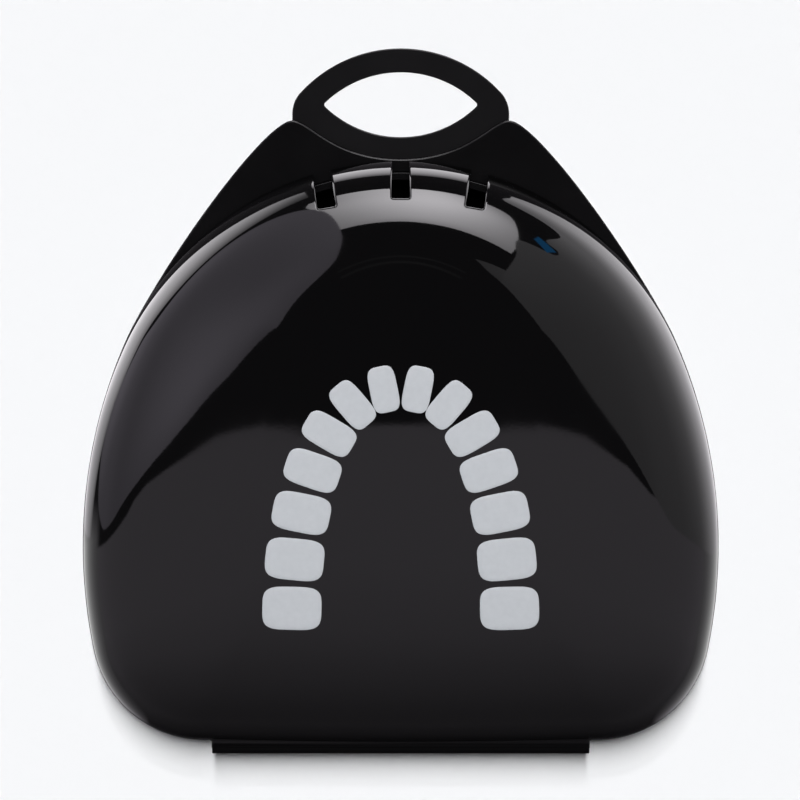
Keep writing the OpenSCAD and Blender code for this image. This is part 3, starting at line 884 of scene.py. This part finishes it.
panel("far_sweep", [
    [(72, 116, 0.6), (90, 116, 0.8), (108, 116, 0.6)],
    [(72, 125, 2.4), (90, 125, 2.4), (108, 125, 2.4)],
    [(72, 140, 3), (90, 140, 3), (108, 140, 3)],
])

# The rest of the studio, seen only in reflections: a table that dims towards the hinge, and a dark room
world = bpy.data.worlds.new("studio")
bpy.context.scene.world = world
world.use_nodes = True
wn = world.node_tree
bg = wn.nodes["Background"]


def calc(op, x, y=None):
    node = wn.nodes.new("ShaderNodeMath")
    node.operation = op
    for k, v in enumerate((x, y)):
        if v is None:
            continue
        if isinstance(v, (int, float)):
            node.inputs[k].default_value = v
        else:
            wn.links.new(v, node.inputs[k])
    return node.outputs[0]


tc = wn.nodes.new("ShaderNodeTexCoord")
sep = wn.nodes.new("ShaderNodeSeparateXYZ")
wn.links.new(tc.outputs["Generated"], sep.inputs[0])
RAMP_END = 1.5
under = calc("MAXIMUM", calc("MULTIPLY", sep.outputs["Z"], -1.0), 0.0)
under = calc("MULTIPLY", under, calc("ADD", calc("MULTIPLY", under, 0.7), 0.5))
depth = calc("DIVIDE", calc("SUBTRACT", under, sep.outputs["Y"]), RAMP_END)
ramp = wn.nodes.new("ShaderNodeValToRGB")
wn.links.new(depth, ramp.inputs["Fac"])
stops = ((0.0, 0.58), (0.3, 0.55), (0.5, 0.46), (0.65, 0.35), (0.9, 0.21), (1.1, 0.11), (1.3, 0.05),
         (RAMP_END, 0.0))
ramp.color_ramp.elements[0].position, ramp.color_ramp.elements[1].position = 0.0, 1.0
for k, (x, v) in enumerate(stops):
    el = ramp.color_ramp.elements
    e = el[0] if k == 0 else (el[-1] if k == len(stops) - 1 else el.new(x / RAMP_END))
    e.color = (v, v, v, 1)
x_abs = calc("ABSOLUTE", sep.outputs["X"])
rise = ranged(wn, x_abs, 0.0, 1.0, 0.2, 0.38)
rise = calc("MULTIPLY", rise, ranged(wn, sep.outputs["X"], 0.0, 1.0, -0.87, -0.74))
rise = calc("MULTIPLY", rise, ranged(wn, sep.outputs["X"], -0.022, 0.0, 0.57, 0.7))
rise = calc("ADD", rise, ranged(wn, sep.outputs["X"], 0.04, 0.004, -1.0, -0.82))
rise = calc("ADD", rise, ranged(wn, x_abs, 0.0375, 0.0, 0.0, 0.125))
rise = calc("ADD", rise, ranged(wn, x_abs, 0.0135, 0.0, 0.125, 0.216))
horizon = calc("ADD", sep.outputs["Y"], rise)
below = ranged(wn, horizon, 1.0, 0.0, -0.0085, -0.0015)
table = calc("MULTIPLY", ramp.outputs["Color"], below)
side = ranged(wn, x_abs, 0.0, 1.0, 0.04, 0.24)
sweep = calc("MULTIPLY", side, ranged(wn, sep.outputs["Z"], 1.05, 0.6, -0.78, -0.35))
sweep = calc("MULTIPLY", sweep, ranged(wn, sep.outputs["Z"], 1.0, 0.0, -0.3, -0.1))
sweep = calc("MULTIPLY", sweep, ranged(wn, sep.outputs["Y"], 1.0, 0.0, -0.02, 0.06))
lean = calc("DIVIDE", sep.outputs["Y"], calc("ADD", x_abs, 0.001))
sweep = calc("MULTIPLY", sweep, ranged(wn, lean, 0.0, 1.0, -1.75, -0.3))
dark = calc("MULTIPLY", calc("SUBTRACT", 1.0, below), 0.06)
wn.links.new(calc("MAXIMUM", calc("MAXIMUM", table, sweep), dark), bg.inputs["Strength"])
tint = wn.nodes.new("ShaderNodeMix")
tint.data_type = "RGBA"
tint.inputs[6].default_value, tint.inputs[7].default_value = (1.02, 0.95, 1.05, 1), (1, 1, 1, 1)
wn.links.new(sweep, tint.inputs[0])
wn.links.new(tint.outputs[2], bg.inputs["Color"])
vis = world.cycles_visibility
vis.camera, vis.diffuse, vis.glossy, vis.transmission, vis.scatter = False, False, True, False, False


def sun(elevation, azimuth, strength, angle):
    """Daylight-like light that the floor and the matt pieces see, and the glossy ones don't."""
    data = bpy.data.lights.new("sun", "SUN")
    data.energy, data.angle = strength, math.radians(angle)
    ob = bpy.data.objects.new("sun", data)
    bpy.context.scene.collection.objects.link(ob)
    e, a = math.radians(elevation), math.radians(azimuth)
    d = np.array([math.cos(e) * math.cos(a), math.cos(e) * math.sin(a), math.sin(e)])
    ob.rotation_mode = "QUATERNION"
    ob.rotation_quaternion = Vector(d).to_track_quat("Z", "Y")
    ob.location = d * 3
    ob.visible_glossy = False
    return ob


for shift in (0.75, 1.02, 1.25, 1.5, 1.8, 2.15, 2.55, 3.05, 3.75, 4.8):
    sun(math.degrees(math.atan2(16, shift)), 90, 0.322, 1.6)

fill_mat, _, _ = emission("fill", (1, 1, 1), 0.03)
bpy.ops.mesh.primitive_uv_sphere_add(segments=32, ring_count=16, radius=13)
fill = bpy.context.object
fill.name = "fill"
fill.data.materials.append(fill_mat)
seen_by(fill, diffuse=True)

# ---------------------------------------------------------------- camera
cam_data = bpy.data.cameras.new("camera")
cam = bpy.data.objects.new("camera", cam_data)
bpy.context.scene.collection.objects.link(cam)
cam.location = (-0.00009, 0.0001, 1.116)
cam_data.sensor_width = 36
cam_data.lens = 36 * 1.1 / 0.1010
cam_data.clip_start, cam_data.clip_end = 0.05, 60
bpy.context.scene.camera = cam
bpy.context.scene.view_settings.view_transform = "Standard"
